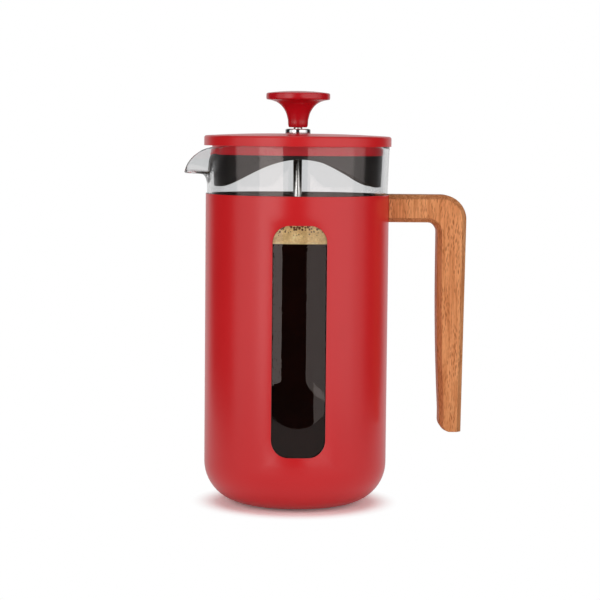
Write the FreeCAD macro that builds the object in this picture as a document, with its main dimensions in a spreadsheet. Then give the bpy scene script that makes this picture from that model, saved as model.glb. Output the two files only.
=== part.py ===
import FreeCAD, Part
import Sketcher
import math
import os

# One-litre french press: painted sleeve with a window, glass beaker, wooden handle,
# domed lid with a splash skirt, and a plunger with a spring-edged filter.
# Millimetres. Origin at the centre of the base, +Z up, handle towards +X,
# spout towards -X, window towards -Y.

os.makedirs("parts", exist_ok=True)
doc = FreeCAD.newDocument("french_press")
Vector = FreeCAD.Vector

# ---------------------------------------------------------------- driving sizes
SIZES = {
    # sleeve, base and window
    "sleeve_radius": 50.0,
    "sleeve_wall": 0.5,
    "sleeve_top": 169.7,
    "sleeve_corner": 22.0,
    "window_low": 31.9,
    "window_below_top": 15.3,
    "window_width": 29.1,
    "window_corner": 9.2,
    "pad_thick": 0.8,
    "pad_margin": 2.0,
    "pad_round": 0.4,
    "seat_height": 5.4,
    "seat_width": 8.0,
    "seat_flare": 3.0,
    "seat_inset": 0.4,
    # fits
    "fit_gap": 0.3,
    "turn_gap": 0.1,
    "rod_clearance": 0.06,
    "cut_spare": 2.0,
    # glass beaker
    "glass_wall": 1.9,
    "glass_floor": 2.5,
    "corner_step": 6.0,
    "glass_showing": 26.7,
    "glass_flare": 0.9,
    "flare_above_sleeve": 1.0,
    # spout
    "spout_overhang": 11.8,
    "spout_tip_radius": 5.0,
    "spout_drop": 16.1,
    "spout_wall": 1.6,
    "spout_round": 1.5,
    "lip_radius": 16.6,
    "lip_below_floor": 2.3,
    "lip_inset": 0.3,
    "lip_blend": 9.0,
    # handle
    "handle_thick": 16.4,
    "handle_height": 130.0,
    "arm_above_sleeve": 0.2,
    "arm_root": 8.0,
    "arm_height": 15.1,
    "grip_reach": 42.4,
    "grip_lean": 1.6,
    "finger_room": 26.4,
    "finger_room_low": 28.7,
    "grip_hollow_radius": 2230.0,
    "handle_outer_corner": 13.5,
    "handle_inner_corner": 5.5,
    "handle_foot_corner": 6.0,
    "handle_chamfer": 2.4,
    # screws and inserts
    "screw_spacing": 7.6,
    "screw_radius": 1.5,
    "screw_head_radius": 3.0,
    "screw_head_height": 1.6,
    "screw_length": 13.0,
    "screw_clearance": 0.05,
    "screw_head_rim": 0.15,
    "dimple_foot": 0.05,
    "insert_radius": 2.4,
    "insert_depth": 3.0,
    # lid
    "lid_wall": 0.6,
    "lid_overlap": 0.7,
    "lid_side": 5.4,
    "lid_dome": 1.35,
    "lid_round": 1.8,
    "collar_gap": 1.6,
    "collar_wall": 0.4,
    "collar_drop": 4.8,
    "collar_seat": 1.0,
    "skirt_taper": 0.7,
    "skirt_drop": 16.9,
    "skirt_wave": 14.9,
    "skirt_wall": 1.2,
    "skirt_plate": 1.6,
    # guide bush
    "bush_wall": 2.1,
    "bush_flange_width": 2.45,
    "bush_flange": 2.54,
    "bush_round": 0.7,
    "bush_length": 14.0,
    "washer_margin": 1.0,
    "washer_thick": 1.0,
    "nut_thick": 4.0,
    "nut_margin": 3.6,
    # knob and rod
    "knob_gap": 0.76,
    "knob_radius": 17.4,
    "knob_wall": 2.0,
    "knob_foot": 0.8,
    "knob_foot_height": 3.0,
    "knob_waist": 1.93,
    "knob_waist_height": 9.43,
    "knob_neck_height": 15.07,
    "knob_neck_arc": 16.0,
    "knob_flare_arc": 9.5,
    "knob_flare_edge": 1.44,
    "knob_bevel": 0.6,
    "knob_edge_height": 3.3,
    "knob_crown": 1.33,
    "knob_insert_wall": 1.1,
    "knob_insert_sink": 0.5,
    "knob_insert_length": 9.7,
    "rod_end_gap": 0.2,
    "rod_radius": 2.4,
    # filter
    "filter_sink": 0.6,
    "filter_edge": 8.5,
    "filter_round": 1.5,
    "mesh_wall": 0.4,
    "spring_wire_radius": 1.9,
    "plate_margin": 6.0,
    "plate_wall": 0.8,
    "plate_dish": 1.6,
    "plate_dish_width": 3.0,
    "plate_hole_radius": 4.0,
    "plate_hole_out": 2.7,
    "cross_hole_radius": 7.5,
    "cross_hole_out": 2.2,
    "hub_wall": 4.1,
    "hub_taper": 1.0,
    "hub_height": 7.0,
    "hub_round": 1.0,
    "rod_recess": 1.5,
}

# Sizes that follow from the driving ones.
DERIVED = {
    "sleeve_bottom": "=pad_thick",
    "sleeve_bore": "=sleeve_radius - sleeve_wall",
    "sleeve_floor": "=sleeve_bottom + sleeve_wall",
    "sleeve_flat": "=sleeve_radius - sleeve_corner",
    "pad_radius": "=sleeve_flat - pad_margin",
    "seat_outer": "=sleeve_flat - seat_inset",
    "seat_inner": "=seat_outer - seat_width",
    "seat_top": "=sleeve_floor + seat_height",
    "window_high": "=sleeve_top - window_below_top",
    "glass_radius": "=sleeve_bore - fit_gap",
    "glass_bore": "=glass_radius - glass_wall",
    "glass_bottom": "=seat_top + fit_gap",
    "glass_inside": "=glass_bottom + glass_floor",
    "glass_corner": "=sleeve_corner - corner_step",
    "glass_flat": "=glass_radius - glass_corner",
    "glass_top": "=sleeve_top + glass_showing",
    "flare_start": "=sleeve_top + flare_above_sleeve",
    "rim_radius": "=glass_radius + glass_flare",
    "rim_bore": "=rim_radius - glass_wall",
    "spout_reach": "=sleeve_radius + spout_overhang",
    "spout_under": "=glass_top - spout_drop",
    "spout_base": "=glass_radius - spout_wall / 3",
    "spout_middle": "=spout_reach - spout_tip_radius",
    "spout_cos": "=(spout_base - spout_tip_radius) / spout_middle",
    "spout_sin": "=sqrt(1 - spout_cos * spout_cos)",
    "lip_foot": "=spout_under - lip_below_floor",
    "arm_high": "=sleeve_top + arm_above_sleeve",
    "arm_low": "=arm_high - arm_height",
    "grip_bottom": "=arm_high - handle_height",
    "grip_out_high": "=sleeve_radius + grip_reach",
    "grip_out_low": "=grip_out_high - grip_lean",
    "grip_in_high": "=sleeve_radius + finger_room",
    "grip_in_low": "=sleeve_radius + finger_room_low",
    "screw_middle": "=(arm_high + arm_low) / 2",
    "dimple_floor": "=sleeve_bore + screw_head_height",
    "dimple_seat": "=dimple_floor - sleeve_wall",
    "screw_end": "=sleeve_radius + screw_length",
    "lid_radius": "=rim_radius + fit_gap + lid_wall",
    "lid_bore": "=lid_radius - lid_wall",
    "lid_low": "=glass_top - lid_overlap",
    "lid_shoulder": "=lid_low + lid_side",
    "lid_crown": "=lid_shoulder + lid_dome",
    "lid_inside": "=lid_shoulder - lid_wall",
    "bush_bore": "=rod_radius + rod_clearance",
    "bush_thread": "=rod_radius + bush_wall",
    "bush_radius": "=bush_thread + bush_flange_width",
    "lid_hole": "=bush_thread + turn_gap",
    "dome_start": "=bush_radius + washer_margin",
    "dome_run": "=lid_radius - dome_start",
    "dome_arc": "=(dome_run * dome_run + lid_dome * lid_dome) / (2 * lid_dome)",
    "flange_low": "=glass_top + fit_gap",
    "flange_radius": "=lid_bore - turn_gap",
    "collar_low": "=lid_low - collar_drop",
    "collar_radius": "=rim_bore - collar_gap",
    "skirt_radius": "=collar_radius - collar_wall",
    "skirt_radius_low": "=skirt_radius - skirt_taper",
    "skirt_low": "=collar_low - skirt_drop",
    "skirt_arch": "=skirt_low + skirt_wave",
    "plate_low": "=lid_inside - skirt_plate",
    "bush_seat": "=lid_crown + turn_gap / 2",
    "bush_high": "=bush_seat + bush_flange",
    "bush_low": "=bush_seat - bush_length",
    "washer_low": "=plate_low - fit_gap - turn_gap - washer_thick",
    "nut_low": "=washer_low - nut_thick",
    "nut_corner": "=bush_thread + nut_margin",
    "knob_low": "=bush_high + knob_gap",
    "knob_disc_low": "=knob_low + knob_neck_height",
    "knob_edge": "=knob_disc_low + knob_edge_height",
    "knob_high": "=knob_edge + knob_crown",
    "knob_bore": "=rod_radius + knob_insert_wall",
    "knob_neck": "=knob_bore + knob_wall",
    "knob_insert_low": "=knob_low + knob_insert_sink",
    "knob_insert_high": "=knob_insert_low + knob_insert_length",
    "rod_high": "=knob_insert_high - rod_end_gap",
    "filter_low": "=glass_inside + glass_corner - glass_wall - filter_sink",
    "filter_radius": "=glass_bore - fit_gap",
    "filter_high": "=filter_low + filter_edge",
    "mesh_high": "=filter_low + mesh_wall",
    "mesh_bore": "=filter_radius - mesh_wall",
    "spring_middle": "=mesh_high + spring_wire_radius + turn_gap",
    "spring_ring": "=mesh_bore - spring_wire_radius - turn_gap",
    "plate_radius": "=filter_radius - plate_margin",
    "plate_flat": "=plate_radius - plate_dish_width",
    "hub_radius": "=rod_radius + hub_wall",
    "cross_low": "=filter_low - plate_wall",
    "hub_low": "=cross_low - hub_height",
    "rod_low": "=hub_low + rod_recess",
}

sheet = doc.addObject("Spreadsheet::Sheet", "dims")
for row, (alias, value) in enumerate([*SIZES.items(), *DERIVED.items()], start=1):
    sheet.set(f"A{row}", alias)
    sheet.set(f"B{row}", str(value))
    sheet.setAlias(f"B{row}", alias)
doc.recompute()


def number(expression):
    """The present value of an expression over the sheet."""
    value = sheet.evalExpression(expression)
    return float(getattr(value, "Value", value))


def bind(thing, prop, expression):
    thing.setExpression(prop, expression)


def plane_of(body, role):
    return next(item for item in body.Origin.OriginFeatures if item.Role == role)


def new_body(name):
    body = doc.addObject("PartDesign::Body", name)
    body.Label = name
    return body


def outline(body, name, role, corners, arcs=None, height=None):
    """Closed outline on one of the body's own planes.

    corners holds pairs of expressions. arcs gives, for the side that starts at a corner,
    (radius expression, +1 or -1 for the side of travel on which the arc's middle lies).
    """
    arcs = arcs or {}
    sketch = body.newObject("Sketcher::SketchObject", name)
    sketch.AttachmentSupport = [(plane_of(body, role), "")]
    sketch.MapMode = "FlatFace"
    if height:
        bind(sketch, "AttachmentOffset.Base.z", height)
    points = [Vector(number(across), number(up), 0) for across, up in corners]
    ends = []
    for index, start in enumerate(points):
        stop = points[(index + 1) % len(points)]
        if index in arcs:
            radius_expression, side = arcs[index]
            radius = number(radius_expression)
            chord = stop - start
            left = Vector(-chord.y, chord.x, 0).normalize()
            rise = math.sqrt(radius ** 2 - chord.Length ** 2 / 4)
            middle = (start + stop) / 2 + left * (side * rise)
            begin, finish = (start, stop) if side > 0 else (stop, start)
            turn_from = math.atan2(begin.y - middle.y, begin.x - middle.x)
            turn_to = math.atan2(finish.y - middle.y, finish.x - middle.x)
            circle = Part.Circle(middle, Vector(0, 0, 1), radius)
            sketch.addGeometry(Part.ArcOfCircle(circle, turn_from, turn_to), False)
            ends.append((1, 2) if side > 0 else (2, 1))
        else:
            sketch.addGeometry(Part.LineSegment(start, stop), False)
            ends.append((1, 2))
    count = len(points)
    for index in range(count):
        after = (index + 1) % count
        sketch.addConstraint(
            Sketcher.Constraint("Coincident", index, ends[index][1], after, ends[after][0]))
    for index, (across, up) in enumerate(corners):
        point = ends[index][0]
        for kind, expression, value in (
                ("DistanceX", across, points[index].x),
                ("DistanceY", up, points[index].y)):
            place = sketch.addConstraint(
                Sketcher.Constraint(kind, -1, 1, index, point, value))
            bind(sketch, f"Constraints[{place}]", expression)
    for index, (radius_expression, _) in arcs.items():
        place = sketch.addConstraint(
            Sketcher.Constraint("Radius", index, number(radius_expression)))
        bind(sketch, f"Constraints[{place}]", radius_expression)
    return sketch


def circle(body, name, across, radius, height):
    """Sketch of one circle on the X axis, at a height above the body's XY plane."""
    sketch = body.newObject("Sketcher::SketchObject", name)
    sketch.AttachmentSupport = [(plane_of(body, "XY_Plane"), "")]
    sketch.MapMode = "FlatFace"
    bind(sketch, "AttachmentOffset.Base.z", height)
    middle = Vector(number(across), 0, 0)
    sketch.addGeometry(Part.Circle(middle, Vector(0, 0, 1), number(radius)), False)
    for kind, expression, value in (("DistanceX", across, middle.x), ("DistanceY", "0", 0)):
        place = sketch.addConstraint(Sketcher.Constraint(kind, -1, 1, 0, 3, value))
        bind(sketch, f"Constraints[{place}]", expression)
    place = sketch.addConstraint(Sketcher.Constraint("Radius", 0, number(radius)))
    bind(sketch, f"Constraints[{place}]", radius)
    return sketch


def revolve(body, sketch, name, axis="V_Axis", cut=False):
    kind = "PartDesign::Groove" if cut else "PartDesign::Revolution"
    feature = body.newObject(kind, name)
    feature.Profile = sketch
    feature.ReferenceAxis = (sketch, [axis])
    feature.Angle = 360
    doc.recompute()
    return feature


def pad(body, sketch, name, length, midplane=False):
    feature = body.newObject("PartDesign::Pad", name)
    feature.Profile = sketch
    bind(feature, "Length", length)
    feature.SideType = "Symmetric" if midplane else "One side"
    doc.recompute()
    return feature


def pocket(body, sketch, name, length, midplane=False, back=False):
    feature = body.newObject("PartDesign::Pocket", name)
    feature.Profile = sketch
    bind(feature, "Length", length)
    feature.SideType = "Symmetric" if midplane else "One side"
    feature.Reversed = back
    doc.recompute()
    return feature


def dress(body, name, kind, size, chosen):
    """Fillet or chamfer on the edges of the body's tip that the test accepts."""
    base = body.Tip
    names = [f"Edge{index}" for index, edge in enumerate(base.Shape.Edges, start=1)
             if chosen(edge)]
    feature = body.newObject("PartDesign::" + kind, name)
    feature.Base = (base, names)
    bind(feature, "Radius" if kind == "Fillet" else "Size", size)
    doc.recompute()
    return feature


def spin(body, base, name, count):
    """Repeats a feature evenly round the body's Z axis."""
    feature = body.newObject("PartDesign::PolarPattern", name)
    feature.Originals = [base]
    feature.Axis = (plane_of(body, "Z_Axis"), [""])
    feature.Angle = 360
    feature.Occurrences = count
    body.Tip = feature
    doc.recompute()
    return feature


def turned(name, corners, arcs=None):
    """A part turned about the Z axis from one outline."""
    body = new_body(name)
    sketch = outline(body, name + "_outline", "XZ_Plane", corners, arcs)
    revolve(body, sketch, name + "_turn")
    return body


def ring_edge(radius, height, slack=0.05):
    """Test for a circular edge round the Z axis at a radius and height."""
    def test(edge):
        box = edge.BoundBox
        return (abs(box.ZMin - height) < slack and abs(box.ZMax - height) < slack
                and abs(edge.Vertexes[0].Point.x ** 2 + edge.Vertexes[0].Point.y ** 2
                        - radius ** 2) < 2 * radius * slack)
    return test


# ---------------------------------------------------------------- base pad
base_pad = turned("base_pad", [
    ("0", "0"),
    ("dims.pad_radius", "0"),
    ("dims.pad_radius", "dims.sleeve_bottom"),
    ("0", "dims.sleeve_bottom"),
])
dress(base_pad, "base_pad_edge", "Fillet", "dims.pad_round",
      ring_edge(number("dims.pad_radius"), 0))

# ---------------------------------------------------------------- sleeve
sleeve = turned("sleeve", [
    ("0", "dims.sleeve_bottom"),
    ("dims.sleeve_flat", "dims.sleeve_bottom"),
    ("dims.sleeve_radius", "dims.sleeve_bottom + dims.sleeve_corner"),
    ("dims.sleeve_radius", "dims.sleeve_top"),
    ("dims.sleeve_bore", "dims.sleeve_top"),
    ("dims.sleeve_bore", "dims.sleeve_bottom + dims.sleeve_corner"),
    ("dims.sleeve_flat", "dims.sleeve_floor"),
    ("0", "dims.sleeve_floor"),
], {1: ("dims.sleeve_corner", 1), 5: ("dims.sleeve_corner - dims.sleeve_wall", -1)})
HALF_WINDOW = "dims.window_width / 2"
window = outline(sleeve, "window_outline", "XZ_Plane", [
    (f"dims.window_corner - {HALF_WINDOW}", "dims.window_low"),
    (f"{HALF_WINDOW} - dims.window_corner", "dims.window_low"),
    (HALF_WINDOW, "dims.window_low + dims.window_corner"),
    (HALF_WINDOW, "dims.window_high - dims.window_corner"),
    (f"{HALF_WINDOW} - dims.window_corner", "dims.window_high"),
    (f"dims.window_corner - {HALF_WINDOW}", "dims.window_high"),
    (f"-{HALF_WINDOW}", "dims.window_high - dims.window_corner"),
    (f"-{HALF_WINDOW}", "dims.window_low + dims.window_corner"),
], {side: ("dims.window_corner", 1) for side in (1, 3, 5, 7)})
pocket(sleeve, window, "window_cut", "dims.sleeve_radius + dims.cut_spare", back=True)

# The arm screws sit in two cones pressed outwards into the wood, so that their heads
# stay clear of the glass. The outer cone is added first, then its inside is cut.
SCREW_LINES = [f"dims.screw_middle {sign} dims.screw_spacing / 2" for sign in "-+"]
CONE_WIDE = "dims.screw_head_radius + dims.sleeve_wall"
CONE_NARROW = "dims.screw_radius + dims.sleeve_wall"
SCREW_HOLE = "dims.screw_radius + dims.screw_clearance"
for count, line in enumerate(SCREW_LINES, start=1):
    cone = outline(sleeve, f"dimple_outline_{count}", "XZ_Plane", [
        ("dims.sleeve_bore + dims.dimple_foot", line),
        ("dims.sleeve_bore + dims.dimple_foot", f"{line} + {CONE_WIDE}"),
        ("dims.dimple_floor", f"{line} + {CONE_NARROW}"),
        ("dims.dimple_floor", line),
    ])
    revolve(sleeve, cone, f"dimple_{count}", axis="Edge4")
    seat = outline(sleeve, f"dimple_seat_outline_{count}", "XZ_Plane", [
        ("dims.sleeve_bore - dims.cut_spare", line),
        ("dims.sleeve_bore - dims.cut_spare", f"{line} + dims.screw_head_radius"),
        ("dims.sleeve_bore", f"{line} + dims.screw_head_radius"),
        ("dims.dimple_seat", f"{line} + {SCREW_HOLE}"),
        ("dims.dimple_floor + dims.cut_spare", f"{line} + {SCREW_HOLE}"),
        ("dims.dimple_floor + dims.cut_spare", line),
    ])
    revolve(sleeve, seat, f"dimple_seat_{count}", axis="Edge6", cut=True)

# ---------------------------------------------------------------- seat ring for the glass
beaker_seat = turned("beaker_seat", [
    ("dims.seat_inner", "dims.sleeve_floor"),
    ("dims.seat_outer", "dims.sleeve_floor"),
    ("dims.seat_outer + dims.seat_flare", "dims.seat_top"),
    ("dims.seat_inner", "dims.seat_top"),
])

# ---------------------------------------------------------------- handle
handle = new_body("handle")
side_view = outline(handle, "handle_outline", "XZ_Plane", [
    ("dims.sleeve_radius - dims.arm_root", "dims.arm_high"),
    ("dims.grip_out_high - dims.handle_outer_corner", "dims.arm_high"),
    ("dims.grip_out_high", "dims.arm_high - dims.handle_outer_corner"),
    ("dims.grip_out_low", "dims.grip_bottom"),
    ("dims.grip_in_low + dims.handle_foot_corner", "dims.grip_bottom"),
    ("dims.grip_in_low", "dims.grip_bottom + dims.handle_foot_corner"),
    ("dims.grip_in_high", "dims.arm_low - dims.handle_inner_corner"),
    ("dims.grip_in_high - dims.handle_inner_corner", "dims.arm_low"),
    ("dims.sleeve_radius - dims.arm_root", "dims.arm_low"),
], {1: ("dims.handle_outer_corner", -1), 4: ("dims.handle_foot_corner", -1),
    5: ("dims.grip_hollow_radius", -1), 6: ("dims.handle_inner_corner", 1)})
pad(handle, side_view, "handle_blank", "dims.handle_thick", midplane=True)


def on_a_side(edge):
    """True for the outline edges of the handle's two sides, but not those of its foot."""
    box = edge.BoundBox
    return (box.YLength < 0.01
            and abs(abs(box.YMin) - number("dims.handle_thick") / 2) < 0.01
            and box.XMax > number("dims.sleeve_radius - dims.arm_root") + 0.1
            and box.ZMax > number("dims.grip_bottom") + 0.01)


dress(handle, "handle_edges", "Chamfer", "dims.handle_chamfer", on_a_side)
end_hollow = outline(handle, "handle_end_outline", "XZ_Plane", [
    ("0", "dims.arm_low - dims.cut_spare"),
    ("dims.sleeve_radius", "dims.arm_low - dims.cut_spare"),
    ("dims.sleeve_radius", "dims.arm_high + dims.cut_spare"),
    ("0", "dims.arm_high + dims.cut_spare"),
])
revolve(handle, end_hollow, "handle_end", cut=True)
for count, line in enumerate(SCREW_LINES, start=1):
    hole = outline(handle, f"handle_hole_outline_{count}", "XZ_Plane", [
        ("dims.sleeve_bore - dims.cut_spare", line),
        ("dims.sleeve_bore - dims.cut_spare", f"{line} + {CONE_WIDE} + dims.turn_gap"),
        ("dims.sleeve_bore + dims.turn_gap", f"{line} + {CONE_WIDE} + dims.turn_gap"),
        ("dims.dimple_floor + dims.turn_gap", f"{line} + {CONE_NARROW} + dims.turn_gap"),
        ("dims.dimple_floor + dims.turn_gap", f"{line} + dims.insert_radius"),
        ("dims.screw_end + dims.cut_spare", f"{line} + dims.insert_radius"),
        ("dims.screw_end + dims.cut_spare", line),
    ])
    revolve(handle, hole, f"handle_hole_{count}", axis="Edge7", cut=True)


# ---------------------------------------------------------------- screws and inserts
def pair_of(name, corners):
    """Two equal turned pieces lying along X on the two screw lines."""
    single = new_body(name + "_single")
    sketch = outline(single, name + "_outline", "XZ_Plane", corners)
    revolve(single, sketch, name + "_turn", axis="H_Axis")
    copies = []
    for place, line in zip(("low", "high"), SCREW_LINES):
        copy = doc.addObject("App::Link", f"{name}_{place}")
        copy.LinkedObject = single
        copy.LinkTransform = True
        bind(copy, "Placement.Base.z", line)
        copies.append(copy)
    group = doc.addObject("Part::Compound", name)
    group.Links = copies
    doc.recompute()
    return group


handle_screws = pair_of("handle_screws", [
    ("dims.sleeve_bore + dims.turn_gap", "0"),
    ("dims.sleeve_bore + dims.turn_gap", "dims.screw_head_radius - dims.screw_head_rim"),
    ("dims.dimple_seat", "dims.screw_radius"),
    ("dims.screw_end", "dims.screw_radius"),
    ("dims.screw_end", "0"),
])
handle_inserts = pair_of("handle_inserts", [
    ("dims.sleeve_radius + dims.insert_depth", "dims.screw_radius"),
    ("dims.sleeve_radius + dims.insert_depth", "dims.insert_radius"),
    ("dims.screw_end", "dims.insert_radius"),
    ("dims.screw_end", "dims.screw_radius"),
])

# ---------------------------------------------------------------- glass beaker
glass_beaker = turned("glass_beaker", [
    ("0", "dims.glass_bottom"),
    ("dims.glass_flat", "dims.glass_bottom"),
    ("dims.glass_radius", "dims.glass_bottom + dims.glass_corner"),
    ("dims.glass_radius", "dims.flare_start"),
    ("dims.rim_radius", "dims.glass_top"),
    ("0", "dims.glass_top"),
], {1: ("dims.glass_corner", 1)})


def nose(name, inset, height):
    """Plan of the spout: a rounded tip and sides that run into the wall, less an inset."""
    tip = f"(dims.spout_tip_radius - {inset})"
    base = f"(dims.spout_base - {inset})"
    return outline(glass_beaker, name, "XY_Plane", [
        ("-dims.glass_radius / 2", f"{base} * dims.spout_sin"),
        (f"-{base} * dims.spout_cos", f"{base} * dims.spout_sin"),
        (f"-dims.spout_middle - {tip} * dims.spout_cos", f"{tip} * dims.spout_sin"),
        (f"-dims.spout_middle - {tip} * dims.spout_cos", f"-{tip} * dims.spout_sin"),
        (f"-{base} * dims.spout_cos", f"-{base} * dims.spout_sin"),
        ("-dims.glass_radius / 2", f"-{base} * dims.spout_sin"),
    ], {2: (tip, 1)}, height)


def under_the_spout(edge):
    box = edge.BoundBox
    return (abs(box.ZMax - number("dims.spout_under")) < 0.01 and box.ZLength < 0.01
            and box.XMax < -number("dims.glass_radius") * 0.6)


pad(glass_beaker, nose("spout_plan", "0", "dims.spout_under"), "spout_blank",
    "dims.glass_top - dims.spout_under")
dress(glass_beaker, "spout_edges", "Fillet", "dims.spout_round", under_the_spout)
cavity = outline(glass_beaker, "cavity_outline", "XZ_Plane", [
    ("0", "dims.glass_inside"),
    ("dims.glass_flat", "dims.glass_inside"),
    ("dims.glass_bore", "dims.glass_inside + dims.glass_corner - dims.glass_wall"),
    ("dims.glass_bore", "dims.flare_start"),
    ("dims.rim_bore", "dims.glass_top"),
    ("dims.rim_bore", "dims.glass_top + dims.cut_spare"),
    ("0", "dims.glass_top + dims.cut_spare"),
], {1: ("dims.glass_corner - dims.glass_wall", 1)})
revolve(glass_beaker, cavity, "cavity", cut=True)
pocket(glass_beaker, nose("spout_channel_plan", "dims.spout_wall",
                          "dims.spout_under + dims.spout_wall"),
       "spout_channel", "dims.spout_drop + dims.cut_spare", back=True)
# The lip falls from the rim to the tip along a quarter of a circle.
LIP_START = "-dims.spout_reach - dims.lip_inset"
lip = outline(glass_beaker, "lip_outline", "XZ_Plane", [
    (f"{LIP_START} - dims.cut_spare", "dims.lip_foot"),
    (LIP_START, "dims.lip_foot"),
    (f"{LIP_START} + dims.lip_radius", "dims.lip_foot + dims.lip_radius"),
    (f"{LIP_START} + dims.lip_radius + dims.lip_blend", "dims.glass_top"),
    (f"{LIP_START} + dims.lip_radius + dims.lip_blend", "dims.glass_top + dims.cut_spare"),
    (f"{LIP_START} - dims.cut_spare", "dims.glass_top + dims.cut_spare"),
], {1: ("dims.lip_radius", -1)})
pocket(glass_beaker, lip, "lip_cut", "3 * dims.sleeve_radius", midplane=True)

# ---------------------------------------------------------------- lid
lid_cover = turned("lid_cover", [
    ("dims.lid_hole", "dims.lid_crown - dims.lid_wall"),
    ("dims.lid_hole", "dims.lid_crown"),
    ("dims.dome_start", "dims.lid_crown"),
    ("dims.lid_radius", "dims.lid_shoulder"),
    ("dims.lid_radius", "dims.lid_low"),
    ("dims.lid_bore", "dims.lid_low"),
    ("dims.lid_bore", "dims.lid_inside"),
    ("dims.dome_start", "dims.lid_crown - dims.lid_wall"),
], {2: ("dims.dome_arc", -1), 6: ("dims.dome_arc", 1)})
dress(lid_cover, "lid_cover_inner_round", "Fillet", "dims.lid_round - dims.lid_wall",
      ring_edge(number("dims.lid_bore"), number("dims.lid_inside")))
dress(lid_cover, "lid_cover_round", "Fillet", "dims.lid_round",
      ring_edge(number("dims.lid_radius"), number("dims.lid_shoulder")))
lid_collar = turned("lid_collar", [
    ("dims.skirt_radius", "dims.collar_low"),
    ("dims.collar_radius", "dims.collar_low"),
    ("dims.collar_radius", "dims.flange_low"),
    ("dims.flange_radius", "dims.flange_low"),
    ("dims.flange_radius", "dims.lid_inside - dims.lid_round + dims.turn_gap"),
    ("dims.skirt_radius", "dims.lid_inside - dims.turn_gap"),
])
lid_skirt = turned("lid_skirt", [
    ("dims.lid_hole", "dims.plate_low"),
    ("dims.skirt_radius - dims.skirt_wall", "dims.plate_low"),
    ("dims.skirt_radius_low - dims.skirt_wall", "dims.skirt_low - dims.cut_spare"),
    ("dims.skirt_radius_low", "dims.skirt_low - dims.cut_spare"),
    ("dims.skirt_radius", "dims.collar_low - dims.collar_seat"),
    ("dims.skirt_radius", "dims.lid_inside"),
    ("dims.lid_hole", "dims.lid_inside"),
])
# Its lower edge is a wave: high in front and behind, low and level at the spout and
# handle. In the side view that is a crest arc, a straight slope and a foot arc.
CREST_END = "(dims.skirt_radius_low * 0.5)"
FOOT_START = "(dims.skirt_radius_low * 0.766)"
FOOT_END = "(dims.skirt_radius_low * 0.935)"
CREST_DROP = "(dims.skirt_wave * 0.42)"
FOOT_RISE = "(dims.skirt_wave * 0.148)"
FOOT_RUN = f"({FOOT_END} - {FOOT_START})"
CREST_ARC = (f"({CREST_END} * {CREST_END} + {CREST_DROP} * {CREST_DROP})"
             f" / (2 * {CREST_DROP})")
FOOT_ARC = f"({FOOT_RUN} * {FOOT_RUN} + {FOOT_RISE} * {FOOT_RISE}) / (2 * {FOOT_RISE})"
wave = outline(lid_skirt, "skirt_wave_outline", "XZ_Plane", [
    ("-dims.skirt_radius - dims.cut_spare", "dims.skirt_low"),
    (f"-{FOOT_END}", "dims.skirt_low"),
    (f"-{FOOT_START}", f"dims.skirt_low + {FOOT_RISE}"),
    (f"-{CREST_END}", f"dims.skirt_arch - {CREST_DROP}"),
    (CREST_END, f"dims.skirt_arch - {CREST_DROP}"),
    (FOOT_START, f"dims.skirt_low + {FOOT_RISE}"),
    (FOOT_END, "dims.skirt_low"),
    ("dims.skirt_radius + dims.cut_spare", "dims.skirt_low"),
    ("dims.skirt_radius + dims.cut_spare", "dims.skirt_low - 2 * dims.cut_spare"),
    ("-dims.skirt_radius - dims.cut_spare", "dims.skirt_low - 2 * dims.cut_spare"),
], {1: (FOOT_ARC, 1), 3: (CREST_ARC, -1), 5: (FOOT_ARC, 1)})
pocket(lid_skirt, wave, "skirt_wave_cut", "3 * dims.sleeve_radius", midplane=True)

# ---------------------------------------------------------------- guide bush
guide_bush = turned("guide_bush", [
    ("dims.bush_bore", "dims.bush_low"),
    ("dims.bush_thread", "dims.bush_low"),
    ("dims.bush_thread", "dims.bush_seat"),
    ("dims.bush_radius", "dims.bush_seat"),
    ("dims.bush_radius", "dims.bush_high"),
    ("dims.bush_bore", "dims.bush_high"),
])
dress(guide_bush, "bush_edge", "Fillet", "dims.bush_round",
      ring_edge(number("dims.bush_radius"), number("dims.bush_high")))
bush_washer = turned("bush_washer", [
    ("dims.bush_thread", "dims.washer_low"),
    ("dims.dome_start", "dims.washer_low"),
    ("dims.dome_start", "dims.washer_low + dims.washer_thick"),
    ("dims.bush_thread", "dims.washer_low + dims.washer_thick"),
])
bush_nut = new_body("bush_nut")
hexagon = outline(bush_nut, "nut_plan", "XY_Plane", [
    (f"dims.nut_corner * {math.cos(math.radians(60 * corner)):.6f}",
     f"dims.nut_corner * {math.sin(math.radians(60 * corner)):.6f}")
    for corner in range(6)
], height="dims.nut_low")
pad(bush_nut, hexagon, "nut_blank", "dims.nut_thick")
nut_hole = circle(bush_nut, "nut_hole_plan", "0", "dims.bush_thread", "dims.nut_low")
pocket(bush_nut, nut_hole, "nut_hole", "dims.nut_thick + dims.cut_spare", back=True)

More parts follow.
